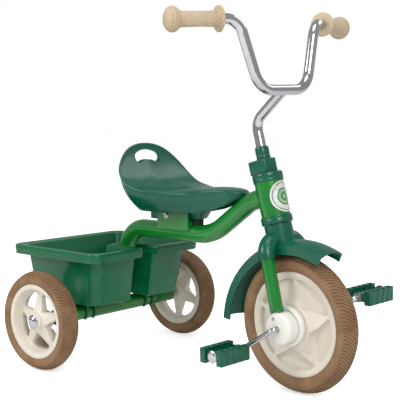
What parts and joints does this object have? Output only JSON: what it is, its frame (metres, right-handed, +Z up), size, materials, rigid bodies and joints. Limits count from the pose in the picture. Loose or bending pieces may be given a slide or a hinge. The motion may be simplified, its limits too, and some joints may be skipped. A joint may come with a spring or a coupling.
{
  "type": "children's tricycle",
  "caption": "Direct-drive tricycle with a bent tube frame, raked fork, moulded saddle with a hand hole, swept handlebar and a tray between the rear wheels.",
  "frame": {"origin": "on the ground, under the middle of the rear axle", "axes": "+X forwards along the wheelbase, +Y to the rider's left, +Z up"},
  "size_m": [0.765, 0.4787, 0.7036],
  "materials": {
    "frame_paint": "glossy enamel",
    "plastic_green": "satin moulded",
    "tyre_rubber": "matt rubber",
    "wheel_cream": "satin moulded",
    "cover_white": "satin moulded",
    "grip_cream": "soft moulded",
    "bright_chrome": "polished",
    "zinc_steel": "zinc plated",
    "black_rubber": "matt",
    "badge_print": "gloss"
  },
  "bodies": {
    "frame": {"axle_beam": "frame_paint", "main_tube": "frame_paint", "head_tube": "frame_paint", "seat_bracket": "frame_paint", "seat": "plastic_green", "seat_bolts": "zinc_steel", "seat_buffer": "black_rubber", "tray": "plastic_green", "head_badge": "badge_print", "upper_head_ring": "plastic_green", "lower_head_ring": "plastic_green", "rear_axle": "zinc_steel", "beam_bush_left": "black_rubber", "beam_bush_right": "black_rubber", "axle_spacers": "zinc_steel", "rear_cap_left": "bright_chrome", "rear_cap_right": "bright_chrome"},
    "steering": {"fork": "frame_paint", "fender": "plastic_green", "head_cap": "plastic_green", "stem_collar": "plastic_green", "stem": "bright_chrome", "handlebar": "bright_chrome", "grip_left": "grip_cream", "grip_right": "grip_cream", "bearing_cover_left": "cover_white", "bearing_cover_right": "cover_white", "cover_screws": "zinc_steel"},
    "front_wheel": {"front_tyre": "tyre_rubber", "front_wheel": "wheel_cream", "hub_disc_left": "cover_white", "hub_disc_right": "cover_white", "crank_axle": "bright_chrome", "pedal_washers": "zinc_steel", "pedal_cap_left": "bright_chrome", "pedal_cap_right": "bright_chrome"},
    "pedal_left": {"pedal_left": "plastic_green"},
    "pedal_right": {"pedal_right": "plastic_green"},
    "rear_wheel_left": {"rear_tyre_left": "tyre_rubber", "rear_wheel_left": "wheel_cream"},
    "rear_wheel_right": {"rear_tyre_right": "tyre_rubber", "rear_wheel_right": "wheel_cream"}
  },
  "joints": [
    {"name": "steering_turn", "type": "hinge", "parent": "frame", "child": "steering", "pos_m": [0.48, 0, 0.13], "axis": [-0.2672, 0, 0.9636], "range_deg": [-39, 51]},
    {"name": "front_wheel_spin", "type": "hinge", "parent": "steering", "child": "front_wheel", "pos_m": [0.48, 0, 0.13], "axis": [0.1007, 0.9945, 0.0279], "continuous": true},
    {"name": "pedal_left_spin", "type": "hinge", "parent": "front_wheel", "child": "pedal_left", "pos_m": [0.55657, 0.11965, 0.17619], "axis": [0.1007, 0.9945, 0.0279], "continuous": true},
    {"name": "pedal_right_spin", "type": "hinge", "parent": "front_wheel", "child": "pedal_right", "pos_m": [0.40343, -0.11965, 0.08381], "axis": [0.1007, 0.9945, 0.0279], "continuous": true},
    {"name": "rear_wheel_left_spin", "type": "hinge", "parent": "frame", "child": "rear_wheel_left", "pos_m": [0, 0.209, 0.1], "axis": [0, 1, 0], "continuous": true},
    {"name": "rear_wheel_right_spin", "type": "hinge", "parent": "frame", "child": "rear_wheel_right", "pos_m": [0, -0.209, 0.1], "axis": [0, 1, 0], "continuous": true}
  ]
}
